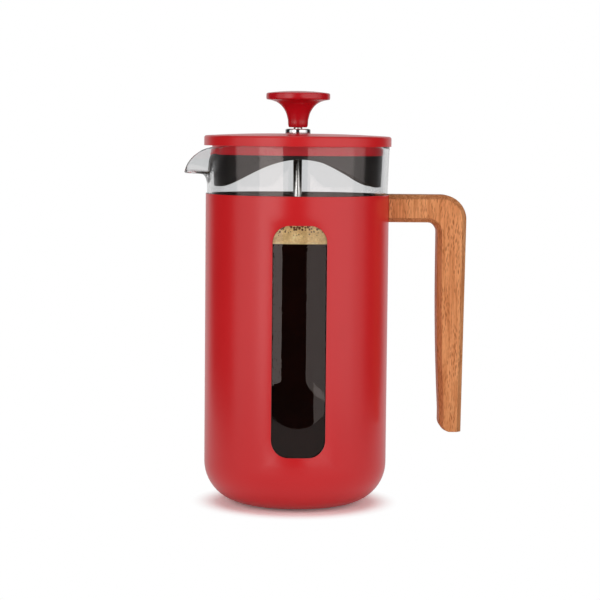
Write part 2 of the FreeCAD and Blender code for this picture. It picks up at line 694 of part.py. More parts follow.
# ---------------------------------------------------------------- knob
knob = turned("knob", [
    ("dims.knob_bore", "dims.knob_low"),
    ("dims.knob_neck - dims.knob_foot", "dims.knob_low"),
    ("dims.knob_neck", "dims.knob_low + dims.knob_foot_height"),
    ("dims.knob_neck + dims.knob_waist", "dims.knob_low + dims.knob_waist_height"),
    ("dims.knob_radius - dims.knob_flare_edge", "dims.knob_disc_low"),
    ("dims.knob_radius - dims.knob_bevel", "dims.knob_disc_low"),
    ("dims.knob_radius", "dims.knob_disc_low + dims.knob_bevel"),
    ("dims.knob_radius", "dims.knob_edge - dims.knob_bevel"),
    ("dims.knob_radius - dims.knob_bevel", "dims.knob_edge"),
    ("0", "dims.knob_high"),
    ("0", "dims.knob_insert_high"),
    ("dims.knob_bore", "dims.knob_insert_high"),
], {2: ("dims.knob_neck_arc", -1), 3: ("dims.knob_flare_arc", -1)})
knob_insert = turned("knob_insert", [
    ("dims.rod_radius", "dims.knob_insert_low"),
    ("dims.knob_bore", "dims.knob_insert_low"),
    ("dims.knob_bore", "dims.knob_insert_high"),
    ("dims.rod_radius", "dims.knob_insert_high"),
])

# ---------------------------------------------------------------- rod and filter
rod = turned("rod", [
    ("0", "dims.rod_low"),
    ("dims.rod_radius", "dims.rod_low"),
    ("dims.rod_radius", "dims.rod_high"),
    ("0", "dims.rod_high"),
])
hub_nut = turned("hub_nut", [
    ("dims.rod_radius", "dims.hub_low"),
    ("dims.hub_radius", "dims.hub_low"),
    ("dims.hub_radius", "dims.cross_low"),
    ("dims.rod_radius", "dims.cross_low"),
])
dress(hub_nut, "hub_nut_edge", "Fillet", "dims.hub_round",
      ring_edge(number("dims.hub_radius"), number("dims.hub_low")))


def pierce(body, across, radius, low, deep, count):
    """Holes evenly round the body's axis, cut upwards from a height."""
    plan = circle(body, body.Name + "_hole_plan", across, radius, low)
    first = pocket(body, plan, body.Name + "_hole", deep, back=True)
    spin(body, first, body.Name + "_holes", count)


cross_plate = turned("cross_plate", [
    ("dims.rod_radius", "dims.cross_low"),
    ("dims.plate_radius", "dims.cross_low"),
    ("dims.plate_radius", "dims.filter_low"),
    ("dims.rod_radius", "dims.filter_low"),
])
pierce(cross_plate, "(dims.hub_radius + dims.plate_radius) / 2 + dims.cross_hole_out",
       "dims.cross_hole_radius", "dims.cross_low - dims.cut_spare",
       "dims.plate_wall + 2 * dims.cut_spare", 8)
filter_mesh = turned("filter_mesh", [
    ("dims.rod_radius", "dims.filter_low"),
    ("dims.filter_radius - dims.filter_round", "dims.filter_low"),
    ("dims.filter_radius", "dims.filter_low + dims.filter_round"),
    ("dims.filter_radius", "dims.filter_high"),
    ("dims.mesh_bore", "dims.filter_high"),
    ("dims.mesh_bore", "dims.filter_low + dims.filter_round"),
    ("dims.filter_radius - dims.filter_round", "dims.mesh_high"),
    ("dims.rod_radius", "dims.mesh_high"),
])
filter_spring = doc.addObject("Part::Torus", "filter_spring")
bind(filter_spring, "Radius1", "dims.spring_ring")
bind(filter_spring, "Radius2", "dims.spring_wire_radius")
bind(filter_spring, "Placement.Base.z", "dims.spring_middle")
spring_plate = turned("spring_plate", [
    ("dims.rod_radius", "dims.mesh_high"),
    ("dims.plate_flat", "dims.mesh_high"),
    ("dims.plate_radius", "dims.mesh_high + dims.plate_dish"),
    ("dims.plate_radius", "dims.mesh_high + dims.plate_dish + dims.plate_wall"),
    ("dims.plate_flat", "dims.mesh_high + dims.plate_wall"),
    ("dims.hub_radius", "dims.mesh_high + dims.plate_wall"),
    ("dims.hub_radius - dims.hub_taper", "dims.mesh_high + dims.hub_height"),
    ("dims.rod_radius", "dims.mesh_high + dims.hub_height"),
])
pierce(spring_plate, "(dims.hub_radius + dims.plate_flat) / 2 + dims.plate_hole_out",
       "dims.plate_hole_radius", "dims.mesh_high - dims.cut_spare",
       "dims.plate_dish + dims.plate_wall + 2 * dims.cut_spare", 12)

# ---------------------------------------------------------------- check and write
PARTS = [
    base_pad, sleeve, beaker_seat, handle, handle_screws, handle_inserts, glass_beaker,
    lid_cover, lid_collar, lid_skirt, guide_bush, bush_washer, bush_nut, knob, knob_insert,
    rod, hub_nut, cross_plate, filter_mesh, filter_spring, spring_plate,
]
doc.recompute()
faults = [f"{item.Name}: {item.State}" for item in doc.Objects
          if {"Invalid", "Error"} & set(item.State)]
for item in PARTS:
    shape = item.Shape
    if shape.isNull() or not shape.isValid() or not shape.Solids:
        faults.append(f"{item.Label}: no valid solid")
if faults:
    raise SystemExit("\n".join(faults))
for item in PARTS:
    item.Shape.exportStep(f"parts/{item.Label}.step")
    box = item.Shape.BoundBox
    print(f"{item.Label:16s} solids {len(item.Shape.Solids)}  volume {item.Shape.Volume:10.1f}"
          f"  x {box.XMin:7.2f} {box.XMax:7.2f}  y {box.YMin:7.2f} {box.YMax:7.2f}"
          f"  z {box.ZMin:7.2f} {box.ZMax:7.2f}")
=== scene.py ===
import math

import bpy
from mathutils import Matrix, Vector


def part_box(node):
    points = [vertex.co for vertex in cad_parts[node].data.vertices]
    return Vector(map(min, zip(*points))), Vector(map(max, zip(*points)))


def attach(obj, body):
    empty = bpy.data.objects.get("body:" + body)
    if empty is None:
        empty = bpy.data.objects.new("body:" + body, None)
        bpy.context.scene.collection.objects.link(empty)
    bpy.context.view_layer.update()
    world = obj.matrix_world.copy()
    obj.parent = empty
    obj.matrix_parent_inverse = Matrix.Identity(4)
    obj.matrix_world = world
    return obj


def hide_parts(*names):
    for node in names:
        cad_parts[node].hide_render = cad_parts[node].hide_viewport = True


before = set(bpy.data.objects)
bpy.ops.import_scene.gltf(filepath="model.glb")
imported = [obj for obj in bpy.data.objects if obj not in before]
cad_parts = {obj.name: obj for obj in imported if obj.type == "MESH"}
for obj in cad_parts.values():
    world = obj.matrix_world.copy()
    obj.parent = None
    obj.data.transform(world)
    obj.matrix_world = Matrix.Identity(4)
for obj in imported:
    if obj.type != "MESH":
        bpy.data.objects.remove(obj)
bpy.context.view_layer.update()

MM = 0.001
TAU = 2 * math.pi


# ---------------------------------------------------------------- places read from the frame
def top_of(node):
    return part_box(node)[1].z


def foot_of(node):
    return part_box(node)[0].z


def radius_of(node):
    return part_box(node)[1].y


# ---------------------------------------------------------------- measures
# The sleeve and its window.
SLEEVE_R = 50.0 * MM
SLEEVE_WALL = 0.5 * MM
SLEEVE_CORNER = 22.0 * MM
WINDOW_LOW = 31.9 * MM
WINDOW_HIGH = 154.4 * MM
WINDOW_HALF = 14.55 * MM
WINDOW_CORNER = 9.2 * MM

# The glass and its spout. Each height is above the ground.
GLASS_R = 49.2 * MM
GLASS_RIM_R = 50.1 * MM
GLASS_WALL = 1.9 * MM
GLASS_CORNER = 16.0 * MM
GLASS_FLOOR = 2.5 * MM
FLARE_START = 170.7 * MM
SPOUT_REACH = -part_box("glass_beaker")[0].x
SPOUT_TIP_R = 5.0 * MM
SPOUT_BASE_R = 48.7 * MM
SPOUT_NARROW_R = 38.0 * MM
SPOUT_FOOT = 180.5 * MM
SPOUT_FULL = 192.0 * MM
SPOUT_TIP_HEIGHT = 181.55 * MM
SPOUT_WALL = 1.3 * MM
GLASS_EDGE_ROUND = 0.55 * MM
CHANNEL_FLOOR = 181.7 * MM
CHANNEL_DEPTH = 0.5 * MM
# Seen from the side, the spout's lip is an arc that would end just past the tip.
LIP_ARC = 16.6 * MM
LIP_ARC_CENTRE = 178.0 * MM
LIP_PAST_TIP = 0.3 * MM
LIP_EASE = 9.5 * MM
# Angles from the spout's middle: where the close steps stop, and where the spout surely has.
SPOUT_SPREAD = math.radians(48)
SPOUT_SIDE = 1.0
FINE_STEP = math.radians(0.75)
WIDE_STEP = math.radians(3)
# Underside of the spout: share of its full reach, and height in mm.
SPOUT_UNDER = (
    (0.0, 174.6), (0.012, 175.8), (0.035, 177.0), (0.065, 178.2), (0.11, 179.1),
    (0.17, 179.7), (0.26, 180.05), (0.42, 180.18), (0.62, 180.26), (0.82, 180.32),
    (0.92, 180.42), (0.975, 180.68), (1.0, 181.05))
# Channel inside the spout: share of its full reach, and depth in mm under its side.
SPOUT_CHANNEL = (
    (0.985, 0.25), (0.94, 0.42), (0.8, 0.52), (0.5, 0.62), (0.22, 0.75), (0.08, 1.2),
    (0.02, 2.0), (0.0, 3.2))

# The handle.
ARM_HEIGHT = 15.1 * MM
FINGER_ROOM = 26.4 * MM
FINGER_ROOM_LOW = 28.7 * MM
GRIP_LEAN = 1.6 * MM
GRIP_OUTER_CORNER = 13.5 * MM
GRIP_INNER_CORNER = 5.5 * MM
GRIP_FOOT_CORNER = 6.0 * MM
GRIP_CHAMFER = 2.4 * MM
GRIP_SINK = 0.6 * MM
GRIP_TOE_CORNER = 0.4 * MM
HOLLOW_START = 12 * MM
HOLLOW_STOP = 25 * MM

# The coffee and its foam.
COFFEE_LEVEL = 144.75 * MM
FOAM_EDGE = 156.4 * MM
FOAM_MIDDLE = 157.2 * MM
FOAM_HOLE = 2.6 * MM
FOAM_DIP = 0.5 * MM
CONTENTS_OVERLAP = 0.06 * MM

# The lid and the hole in it for the bush.
LID_WALL = 0.6 * MM
LID_DROP = 1.35 * MM
BUSH_HOLE = 4.6 * MM

# Outline of the knob: radius, and height above its foot, in mm.
KNOB_OUTLINE = (
    (4.75, 0.0), (5.12, 0.35), (5.36, 1.2), (5.48, 2.2), (5.51, 3.1), (5.58, 4.1),
    (5.81, 5.1), (6.07, 6.2), (6.40, 7.3), (6.86, 8.4), (7.43, 9.45), (8.12, 10.5),
    (9.02, 11.6), (10.27, 12.7), (12.0, 13.78), (14.0, 14.5), (15.96, 14.88),
    (16.75, 14.98), (17.15, 15.15), (17.36, 15.55), (17.4, 16.1), (17.4, 17.5),
    (17.34, 18.0), (17.12, 18.4), (16.6, 18.62), (13.0, 19.1), (8.5, 19.5),
    (4.0, 19.68), (0.0, 19.7))


# ---------------------------------------------------------------- mesh helpers
def piece(name, vertices, faces, body, material, nodes=(), sharp=32):
    """A new piece of the object, riding on a body, smooth but for edges sharper than an angle."""
    mesh = bpy.data.meshes.new(name)
    mesh.from_pydata([tuple(point) for point in vertices], [], faces)
    mesh.validate()
    mesh.update()
    made = bpy.data.objects.new(name, mesh)
    bpy.context.scene.collection.objects.link(made)
    mesh.materials.append(material)
    mesh.shade_smooth()
    mesh.set_sharp_from_angle(angle=math.radians(sharp))
    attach(made, body)
    if nodes:
        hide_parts(*nodes)
    return made


def rounded(corners, steps=6):
    """Points of an outline whose corners (across, up, radius) are rounded where radius is not 0."""
    made = []
    most_of_side = 0.49
    count = len(corners)
    for index, (across, up, radius) in enumerate(corners):
        here = Vector((across, up))
        if radius == 0:
            made.append(here)
            continue
        before = Vector(corners[index - 1][:2]) - here
        after = Vector(corners[(index + 1) % count][:2]) - here
        half = before.angle(after) / 2
        reach = min(radius / math.tan(half), most_of_side * before.length,
                    most_of_side * after.length)
        radius = reach * math.tan(half)
        start = here + before.normalized() * reach
        stop = here + after.normalized() * reach
        middle = here + (before.normalized() + after.normalized()).normalized() * (
            radius / math.sin(half))
        first = start - middle
        last = stop - middle
        for step in range(steps + 1):
            share = step / steps
            spoke = first.lerp(last, share)
            made.append(middle + spoke.normalized() * radius)
    return made


def lathe(outline, steps=160, closed=True, shape=None):
    """Vertices and faces of an outline of (radius, height) turned about the Z axis.

    shape(radius, height, angle) may move each point, and gives a new (radius, height).
    """
    on_axis = 1e-7
    vertices, rings = [], []
    for radius, height in outline:
        if radius < on_axis:
            rings.append([len(vertices)])
            vertices.append(Vector((0, 0, height)))
            continue
        ring = []
        for step in range(steps):
            angle = TAU * step / steps
            r, z = shape(radius, height, angle) if shape else (radius, height)
            ring.append(len(vertices))
            vertices.append(Vector((r * math.cos(angle), r * math.sin(angle), z)))
        rings.append(ring)
    faces = []
    pairs = list(zip(rings, rings[1:]))
    if closed:
        pairs.append((rings[-1], rings[0]))
    for low, high in pairs:
        for step in range(steps):
            after = (step + 1) % steps
            if len(low) == 1 and len(high) == 1:
                break
            if len(low) == 1:
                faces.append((low[0], high[after], high[step]))
            elif len(high) == 1:
                faces.append((low[step], low[after], high[0]))
            else:
                faces.append((low[step], low[after], high[after], high[step]))
    return vertices, faces


def soft_edges(made, name, width, angle):
    """Round every edge sharper than an angle in degrees."""
    edges = made.modifiers.new(name, "BEVEL")
    edges.width = width
    edges.segments = 2
    edges.limit_method = "ANGLE"
    edges.angle_limit = math.radians(angle)
    return edges


# ---------------------------------------------------------------- material helpers
class Paint:
    """A node material built round one Principled shader."""

    def __init__(self, name, **sockets):
        self.made = bpy.data.materials.new(name)
        self.made.use_nodes = True
        self.tree = self.made.node_tree
        self.shader = self.tree.nodes["Principled BSDF"]
        self.place = self.tree.nodes.new("ShaderNodeTexCoord").outputs["Object"]
        for socket, value in sockets.items():
            self.shader.inputs[socket.replace("_", " ")].default_value = value

    def node(self, kind, **links):
        made = self.tree.nodes.new(kind)
        for socket, value in links.items():
            self.feed(made.inputs[socket.replace("_", " ")], value)
        return made

    def feed(self, socket, value):
        if isinstance(value, bpy.types.NodeSocket):
            self.tree.links.new(value, socket)
        else:
            socket.default_value = value

    def stretched(self, x, y, z):
        mapping = self.node("ShaderNodeMapping", Vector=self.place)
        mapping.inputs["Scale"].default_value = (x, y, z)
        return mapping.outputs["Vector"]

    def noise(self, scale, detail=4.0, rough=0.5, vector=None, distortion=0.0):
        made = self.node("ShaderNodeTexNoise", Vector=vector or self.place, Scale=scale,
                         Detail=detail, Roughness=rough, Distortion=distortion)
        return made.outputs["Fac"]

    def cells(self, scale, vector=None, feature="F1"):
        made = self.tree.nodes.new("ShaderNodeTexVoronoi")
        made.feature = feature
        self.feed(made.inputs["Vector"], vector or self.place)
        made.inputs["Scale"].default_value = scale
        return made.outputs["Distance"]

    def ramp(self, value, *stops):
        made = self.node("ShaderNodeValToRGB", Fac=value)
        bar = made.color_ramp
        while len(bar.elements) < len(stops):
            bar.elements.new(0.5)
        for element, (spot, colour) in zip(bar.elements, stops):
            element.position = spot
            element.color = colour if len(colour) == 4 else (*colour, 1)
        return made.outputs["Color"]

    def grey(self, value, *stops):
        return self.ramp(value, *[(spot, (level, level, level)) for spot, level in stops])

    def mix(self, share, first, second, mode="MIX"):
        """Blend of two colours. Sockets 6, 7 and 2 are the node's colour sockets."""
        made = self.tree.nodes.new("ShaderNodeMix")
        made.data_type = "RGBA"
        made.blend_type = mode
        self.feed(made.inputs[0], share)
        for index, value in ((6, first), (7, second)):
            if isinstance(value, tuple) and len(value) == 3:
                value = (*value, 1)
            self.feed(made.inputs[index], value)
        return made.outputs[2]

    def sum(self, first, second, kind="ADD"):
        made = self.tree.nodes.new("ShaderNodeMath")
        made.operation = kind
        self.feed(made.inputs[0], first)
        self.feed(made.inputs[1], second)
        return made.outputs[0]

    def bump(self, height, strength, distance, below=None):
        made = self.node("ShaderNodeBump", Height=height, Strength=strength,
                         Distance=distance)
        if below:
            self.feed(made.inputs["Normal"], below)
        return made.outputs["Normal"]

    def set(self, socket, value):
        self.feed(self.shader.inputs[socket], value)


def satin(name, colour, dull, rough, peel=0.05, **sockets):
    """Satin paint or plastic: broad tone drift, orange peel and a little uneven sheen."""
    paint = Paint(name, **sockets)
    uneven = 0.006
    drift = paint.noise(18, 3)
    paint.set("Base Color", paint.ramp(drift, (0.35, dull), (0.65, colour)))
    peel_height = paint.noise(900, 2)
    paint.set("Roughness", paint.grey(paint.noise(60, 2), (0.3, rough - uneven),
                                      (0.7, rough + uneven)))
    paint.set("Normal", paint.bump(peel_height, peel, 0.0002))
    return paint.made


def metal(name, colour, rough, stretch=(1, 1, 1), scale=800, depth=0.05):
    """Bare metal with a fine directional finish."""
    paint = Paint(name, Metallic=1.0)
    lines = paint.noise(scale, 3, 0.6, paint.stretched(*stretch))
    paint.set("Base Color", paint.ramp(lines, (0.3, tuple(0.9 * c for c in colour)),
                                       (0.7, colour)))
    paint.set("Roughness", paint.grey(lines, (0.3, rough * 0.8), (0.7, rough * 1.2)))
    paint.set("Normal", paint.bump(lines, depth, 0.0001))
    return paint.made


def rubber(name, colour):
    """Matt rubber with a fine grain."""
    paint = Paint(name)
    grain = paint.noise(1400, 4)
    paint.set("Base Color", paint.ramp(grain, (0.3, tuple(0.7 * c for c in colour)),
                                       (0.7, colour)))
    paint.set("Roughness", paint.grey(grain, (0.2, 0.6), (0.8, 0.8)))
    paint.set("Normal", paint.bump(grain, 0.25, 0.0002))
    return paint.made


def beech(name, shade=1.0):
    """Oiled steamed beech, its grain running up and down, with short dark flecks."""
    # shade darkens every colour of the wood; below 1 it makes a painted-shade copy.
    def tinted(*colour):
        return tuple(shade * level for level in colour)

    paint = Paint(name, IOR=1.45, Specular_IOR_Level=0.12)
    broad = paint.noise(1, 3, 0.5, paint.stretched(70, 70, 7), 0.4)
    fine = paint.noise(1, 5, 0.6, paint.stretched(900, 900, 45))
    tone = paint.ramp(broad, (0.3, tinted(0.90, 0.360, 0.145)),
                      (0.5, tinted(0.98, 0.445, 0.190)), (0.7, tinted(1.0, 0.50, 0.235)))
    lines = paint.mix(paint.grey(fine, (0.36, 0.0), (0.62, 0.8)), tone,
                      tinted(0.62, 0.205, 0.068))
    fleck = paint.cells(1, paint.stretched(1800, 1800, 290))
    spare = paint.noise(1, 2, 0.5, paint.stretched(220, 220, 60))
    mark = paint.sum(paint.grey(fleck, (0.22, 0.85), (0.48, 0.0)),
                     paint.grey(spare, (0.32, 0.15), (0.56, 1.0)), "MULTIPLY")
    paint.set("Base Color", paint.mix(mark, lines, tinted(0.36, 0.100, 0.030)))
    paint.set("Roughness", paint.grey(fine, (0.3, 0.42), (0.7, 0.56)))
    pores = paint.bump(mark, 0.1, 0.0002)
    paint.set("Normal", paint.bump(fine, 0.12, 0.0002, pores))
    return paint.made


def clear_glass(name):
    """Clear glass with very slight waves."""
    paint = Paint(name, Transmission_Weight=1.0, IOR=1.47, Roughness=0.0,
                  Specular_Tint=(0.93, 0.80, 0.76, 1))
    waves = paint.noise(25, 2)
    paint.set("Base Color", paint.ramp(waves, (0.3, (0.960, 0.957, 0.960)),
                                       (0.7, (0.976, 0.973, 0.975))))
    paint.set("Normal", paint.bump(waves, 0.04, 0.0006))
    return paint.made


def coffee_liquid(name):
    """Black coffee, seen through glass."""
    paint = Paint(name, Roughness=0.06, IOR=1.05)
    swirl = paint.noise(40, 3)
    paint.set("Base Color", paint.ramp(swirl, (0.3, (0.008, 0.0014, 0.0005)),
                                       (0.7, (0.013, 0.002, 0.0008))))
    return paint.made


def coffee_foam(name):
    """Tan foam of small bubbles, with brown specks of grounds gathered near its top. It glows
    faintly in its own colour: painted light.
    """
    paint = Paint(name, Roughness=0.6)
    bubbles = paint.cells(900)
    tone = paint.ramp(paint.noise(150, 4), (0.35, (0.62, 0.40, 0.17)),
                      (0.5, (0.78, 0.55, 0.25)), (0.66, (0.88, 0.68, 0.36)))
    ringed = paint.mix(paint.grey(bubbles, (0.25, 0.0), (0.6, 0.3)), tone,
                       (0.45, 0.23, 0.08))
    height = paint.node("ShaderNodeSeparateXYZ", Vector=paint.place).outputs["Z"]
    upper = paint.node("ShaderNodeMapRange", Value=height)
    margin = 2 * MM
    upper.inputs["From Min"].default_value = COFFEE_LEVEL + margin
    upper.inputs["From Max"].default_value = FOAM_EDGE - margin
    upper.inputs["To Min"].default_value = 0.12
    upper.inputs["To Max"].default_value = 1.25
    speck = paint.cells(760)
    size = paint.sum(upper.outputs["Result"], paint.noise(260, 2), "MULTIPLY")
    mark = paint.grey(paint.sum(size, speck, "SUBTRACT"), (0.0, 0.0), (0.05, 1.0))
    look = paint.mix(mark, ringed, (0.13, 0.035, 0.012))
    paint.set("Base Color", look)
    # Painted light: the foam glows in its own colour, brighter than the lamps alone make it.
    paint.set("Emission Color", look)
    paint.set("Emission Strength", 0.31)
    paint.set("Normal", paint.bump(bubbles, 0.4, 0.0004))
    return paint.made


def woven_mesh(name):
    """Fine woven steel cloth: two sets of wires crossing."""
    paint = Paint(name, Metallic=1.0, Roughness=0.38)
    waves = []
    for axis in ("X", "Y"):
        made = paint.node("ShaderNodeTexWave", Vector=paint.place, Scale=900.0)
        made.bands_direction = axis
        waves.append(made.outputs["Fac"])
    weave = paint.sum(waves[0], waves[1], "MAXIMUM")
    paint.set("Base Color", paint.grey(weave, (0.25, 0.10), (0.75, 0.62)))
    paint.set("Normal", paint.bump(weave, 0.6, 0.0002))
    return paint.made


RED = (0.715, 0.0140, 0.0175)
DEEP_RED = (0.685, 0.0120, 0.0155)
sleeve_paint = satin("sleeve_paint", RED, DEEP_RED, 0.28)
lid_paint = satin("lid_paint", RED, DEEP_RED, 0.30)
collar_red = satin("collar_plastic", (0.88, 0.030, 0.042), (0.84, 0.026, 0.038), 0.3)
knob_red = satin("knob_plastic", (0.60, 0.007, 0.015), (0.57, 0.006, 0.013), 0.25)
skirt_black = satin("skirt_plastic", (0.029, 0.024, 0.022), (0.023, 0.019, 0.018), 0.36,
                    Specular_IOR_Level=0.34)
# Steel inside the sleeve. It is also used on the cut edges as painted shade.
inside_steel_and_edge_shade = metal("sleeve_inside_and_edge_shade", (0.22, 0.20, 0.19), 0.42, (1, 1, 12))
wood = beech("beech")
# Darker copy of the wood for the handle's chamfers: painted shade.
wood_painted_shade = beech("beech_painted_shade", 0.74)
glass = clear_glass("beaker_glass")
chrome = metal("bush_chrome", (0.78, 0.77, 0.76), 0.07, depth=0.01)
rod_chrome = metal("rod_steel", (0.93, 0.90, 0.86), 0.22, (1, 1, 0.05), depth=0.01)
coil_steel = metal("spring_steel", (0.62, 0.61, 0.60), 0.2)
coffee_look = coffee_liquid("coffee")
foam_look = coffee_foam("coffee_foam")

# CAD nodes whose shape is kept, with the finish of each.
KEPT = {
    "base_pad": rubber("pad_rubber", (0.035, 0.035, 0.035)),
    "beaker_seat": rubber("seat_silicone", (0.10, 0.10, 0.10)),
    "handle_screws": metal("screw_steel", (0.60, 0.60, 0.60), 0.25),
    "handle_inserts": metal("insert_brass", (0.72, 0.50, 0.22), 0.25),
    "bush_washer": metal("washer_steel", (0.60, 0.60, 0.60), 0.25),
    "bush_nut": metal("nut_steel", (0.70, 0.70, 0.70), 0.16),
    "knob_insert": metal("knob_brass", (0.72, 0.50, 0.22), 0.25),
    "hub_nut": metal("hub_steel", (0.62, 0.61, 0.60), 0.22),
    "cross_plate": metal("filter_steel", (0.62, 0.61, 0.60), 0.28, (1, 8, 1)),
    "spring_plate": metal("plate_steel", (0.62, 0.61, 0.60), 0.26, (1, 8, 1)),
    "filter_mesh": woven_mesh("mesh_steel"),
}
for node_name, finish in KEPT.items():
    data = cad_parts[node_name].data
    data.materials.clear()
    data.materials.append(finish)


# ---------------------------------------------------------------- sleeve
def sleeve_shell():
    """Outer skin of the sleeve as one sheet with the window left out, thickened inwards."""
    top, foot = top_of("sleeve"), foot_of("sleeve")
    margin = 6 * MM
    window_columns, other_columns = 26, 120
    upper_rows, window_rows, lower_rows, bend_rows = 3, 84, 2, 14
    foot_ring = 14 * MM
    half = (WINDOW_HALF + margin) / SLEEVE_R
    low, high = WINDOW_LOW - margin, WINDOW_HIGH + margin
    across = [-half + 2 * half * step / window_columns for step in range(window_columns + 1)]
    wide = [half + (TAU - 2 * half) * step / other_columns for step in range(1, other_columns)]
    angles = across + wide
    upper = [top - (top - high) * step / upper_rows for step in range(upper_rows)]
    beside = [high - (high - low) * step / window_rows for step in range(window_rows + 1)]
    lower = []
    bend = foot + SLEEVE_CORNER
    for step in range(1, lower_rows + 1):
        lower.append((SLEEVE_R, low - (low - bend) * step / lower_rows))
    for step in range(1, bend_rows + 1):
        turn = math.pi / 2 * step / bend_rows
        lower.append((SLEEVE_R - SLEEVE_CORNER * (1 - math.cos(turn)),
                      bend - SLEEVE_CORNER * math.sin(turn)))
    lower.append((foot_ring, foot))
    levels = [(SLEEVE_R, z) for z in upper + beside] + lower
    vertices, index_of = [], {}
    columns = len(angles)
    for row, (radius, z) in enumerate(levels):
        for column, angle in enumerate(angles):
            facing = angle - math.pi / 2
            index_of[row, column] = len(vertices)
            vertices.append(Vector((radius * math.cos(facing), radius * math.sin(facing), z)))
    first, last = len(upper), len(upper) + len(beside) - 1
    faces = []
    for row in range(len(levels) - 1):
        for column in range(columns):
            if first <= row < last and column < window_columns:
                continue
            after = (column + 1) % columns
            faces.append((index_of[row, column], index_of[row + 1, column],
                          index_of[row + 1, after], index_of[row, after]))
    middle = len(vertices)
    vertices.append(Vector((0, 0, foot)))
    row = len(levels) - 1
    for column in range(columns):
        faces.append((index_of[row, column], middle, index_of[row, (column + 1) % columns]))
    # Ring of faces between the grid and the rounded window.
    border = [(first, column) for column in range(window_columns)]
    border += [(row, window_columns) for row in range(first, last)]
    border += [(last, column) for column in range(window_columns, 0, -1)]
    border += [(row, 0) for row in range(last, first, -1)]
    core_half = WINDOW_HALF - WINDOW_CORNER
    core_low, core_high = WINDOW_LOW + WINDOW_CORNER, WINDOW_HIGH - WINDOW_CORNER
    edge = []
    for row, column in border:
        spot = Vector((angles[column] * SLEEVE_R, levels[row][1]))
        core = Vector((max(-core_half, min(core_half, spot.x)),
                       max(core_low, min(core_high, spot.y))))
        rim = core + (spot - core).normalized() * WINDOW_CORNER
        facing = rim.x / SLEEVE_R - math.pi / 2
        edge.append(len(vertices))
        vertices.append(Vector((SLEEVE_R * math.cos(facing), SLEEVE_R * math.sin(facing),
                                rim.y)))
    for step, (row, column) in enumerate(border):
        after = (step + 1) % len(border)
        faces.append((index_of[row, column], edge[step], edge[after],
                      index_of[border[after]]))
    made = piece("sleeve_shell", vertices, faces, "holder", sleeve_paint,
                 ["sleeve"])
    made.data.materials.append(inside_steel_and_edge_shade)
    thick = made.modifiers.new("thickness", "SOLIDIFY")
    thick.thickness = SLEEVE_WALL
    thick.offset = -1
    thick.material_offset = 1
    # Painted shade: the cut edges at the window and the top take the dark inside steel, standing in
    # for the shade in the gap between sleeve and glass.
    thick.material_offset_rim = 1
    soft_edges(made, "edges", 0.14 * MM, 60)
    return made


sleeve_shell()


# ---------------------------------------------------------------- handle
def grip_outline(inset):
    """Side view of the handle, moved inwards except at its foot and its sleeve end."""
    low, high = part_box("handle")
    arm_low = high.z - ARM_HEIGHT
    inner = SLEEVE_R + FINGER_ROOM + inset
    inner_foot = SLEEVE_R + FINGER_ROOM_LOW + inset
    corner_steps, hollow_steps = 12, 6
    above_foot = 20 * MM
    start, stop = low.z + HOLLOW_START, arm_low - HOLLOW_STOP
    foot = rounded([
        (SLEEVE_R - GRIP_SINK, high.z - inset, 0),
        (high.x - inset, high.z - inset, GRIP_OUTER_CORNER - inset),
        (high.x - GRIP_LEAN - inset, low.z, GRIP_TOE_CORNER),
        (inner_foot, low.z, GRIP_FOOT_CORNER),
        (inner_foot, low.z + above_foot, 0)], corner_steps)[:-1]
    hollow = []
    for step in range(hollow_steps + 1):
        share = step / hollow_steps
        across = inner_foot + (inner - inner_foot) * (1 - (1 - share) ** 2)
        hollow.append(Vector((across, start + (stop - start) * share)))
    elbow = rounded([
        (inner, stop, 0),
        (inner, arm_low + inset, GRIP_INNER_CORNER + inset),
        (SLEEVE_R - GRIP_SINK, arm_low + inset, 0)], corner_steps)[1:]
    return foot + hollow + elbow


def handle_grip():
    """Four outlines side by side: full size in the middle, set in on the two faces."""
    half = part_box("handle")[1].y
    full, inset = grip_outline(0.0), grip_outline(GRIP_CHAMFER)
    count = len(full)
    vertices = []
    for path, y in ((inset, -half), (full, GRIP_CHAMFER - half),
                    (full, half - GRIP_CHAMFER), (inset, half)):
        vertices += [Vector((point.x, y, point.y)) for point in path]
    faces = [tuple(range(count)), tuple(reversed(range(3 * count, 4 * count)))]
    for band in range(3):
        for step in range(count):
            after = (step + 1) % count
            near, far = band * count, (band + 1) * count
            faces.append((near + step, far + step, far + after, near + after))
    made = piece("handle_grip", vertices, faces, "holder", wood, ["handle"], 24)
    # Painted shade: the chamfered edges take a darker copy of the wood, which stands in for the
    # shade that falls on them.
    made.data.materials.append(wood_painted_shade)
    for face in made.data.polygons[2:]:
        face.material_index = 1
    soften = soft_edges(made, "soften", 0.35 * MM, 28)
    soften.use_clamp_overlap = False
    return made


handle_grip()


# ---------------------------------------------------------------- glass beaker
def spout_plan(angle, inset, height):
    """Distance from the axis to the spout's plan outline, at an angle from the spout's middle.

    The spout is narrow where it starts and as wide as the rim at its lip.
    """
    tip = SPOUT_TIP_R - inset
    share = min(1.0, max(0.0, (height - SPOUT_FOOT) / (SPOUT_FULL - SPOUT_FOOT)))
    base = SPOUT_NARROW_R + (SPOUT_BASE_R - SPOUT_NARROW_R) * share - inset
    centre = SPOUT_REACH - SPOUT_TIP_R
    lean = math.acos((base - tip) / centre)
    off = abs(angle)
    touch = math.atan2(tip * math.sin(lean), centre + tip * math.cos(lean))
    if off > lean:
        return 0.0
    if off > touch:
        return base / math.cos(lean - off)
    across = centre * math.cos(off)
    return across + math.sqrt(tip ** 2 - (centre * math.sin(off)) ** 2)


